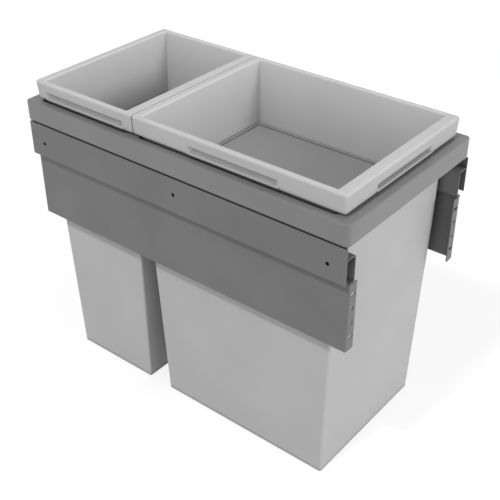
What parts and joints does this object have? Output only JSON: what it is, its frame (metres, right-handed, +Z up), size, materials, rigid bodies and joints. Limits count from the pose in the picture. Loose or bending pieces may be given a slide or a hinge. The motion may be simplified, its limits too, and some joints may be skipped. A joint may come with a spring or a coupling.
{
  "type": "pull-out waste bin frame",
  "caption": "Pull-out frame for a narrow kitchen base cabinet: bent steel side panels on full-extension ball runners carry a moulded ring, in which lidded waste bins hang one behind the other",
  "frame": {"origin": "middle of the unit's width and depth, at the height of the bins' undersides, with the unit pushed in", "axes": "X is the width between the two cabinet sides, -Y points out of the cabinet towards the door and +Z is up"},
  "size_m": [0.264, 0.505, 0.425],
  "materials": {
    "coated_steel": "mid-grey powder coat, satin, on bent sheet steel",
    "zinc_steel": "roll-formed strip with clear zinc plating, lightly greased",
    "ball_steel": "polished hard steel balls",
    "rivet_steel": "grey coated steel rivets",
    "buffer_rubber": "black rubber",
    "ring_plastic": "dark grey moulded plastic with a fine satin texture",
    "bin_plastic": "light grey moulded plastic, satin",
    "lid_plastic": "light grey moulded plastic, satin"
  },
  "bodies": {
    "cabinet_side": {"cabinet_rail_left": "coated_steel", "cabinet_rail_right": "coated_steel", "outer_runner_left": "zinc_steel", "outer_runner_right": "zinc_steel", "stop_buffer_left": "buffer_rubber", "stop_buffer_right": "buffer_rubber"},
    "outer_cages": {"outer_cage_left": "zinc_steel", "outer_cage_right": "zinc_steel", "outer_balls_left": "ball_steel", "outer_balls_right": "ball_steel"},
    "middle_runners": {"middle_runner_left": "zinc_steel", "middle_runner_right": "zinc_steel"},
    "inner_cages": {"inner_cage_left": "zinc_steel", "inner_cage_right": "zinc_steel", "inner_balls_left": "ball_steel", "inner_balls_right": "ball_steel"},
    "carriage": {"inner_runner_left": "zinc_steel", "inner_runner_right": "zinc_steel", "side_panel_left": "coated_steel", "side_panel_right": "coated_steel", "back_rail": "coated_steel", "back_rail_rivets": "rivet_steel", "ring_frame": "ring_plastic"},
    "large_bin": {"large_bin": "bin_plastic"},
    "small_bin": {"small_bin": "bin_plastic"},
    "large_lid": {"large_lid": "lid_plastic"},
    "small_lid": {"small_lid": "lid_plastic"}
  },
  "joints": [
    {"name": "pull_out", "type": "slide", "parent": "cabinet_side", "child": "carriage", "axis": [0, -1, 0], "range_m": [0, 0.48]},
    {"name": "middle_travel", "type": "slide", "parent": "cabinet_side", "child": "middle_runners", "axis": [0, -1, 0], "range_m": [0, 0.24]},
    {"name": "outer_cage_travel", "type": "slide", "parent": "cabinet_side", "child": "outer_cages", "axis": [0, -1, 0], "range_m": [0, 0.12]},
    {"name": "inner_cage_travel", "type": "slide", "parent": "cabinet_side", "child": "inner_cages", "axis": [0, -1, 0], "range_m": [0, 0.36]},
    {"name": "large_bin_lift", "type": "slide", "parent": "carriage", "child": "large_bin", "axis": [0, 0, 1], "range_m": [0, 0.43]},
    {"name": "small_bin_lift", "type": "slide", "parent": "carriage", "child": "small_bin", "axis": [0, 0, 1], "range_m": [0, 0.43]},
    {"name": "large_lid_lift", "type": "slide", "parent": "large_bin", "child": "large_lid", "axis": [0, 0, 1], "range_m": [0, 0.25]},
    {"name": "small_lid_lift", "type": "slide", "parent": "small_bin", "child": "small_lid", "axis": [0, 0, 1], "range_m": [0, 0.25]}
  ],
  "couplings": [
    {"joint": "middle_travel", "follows": "pull_out", "ratio": 0.5},
    {"joint": "outer_cage_travel", "follows": "pull_out", "ratio": 0.25},
    {"joint": "inner_cage_travel", "follows": "pull_out", "ratio": 0.75}
  ]
}
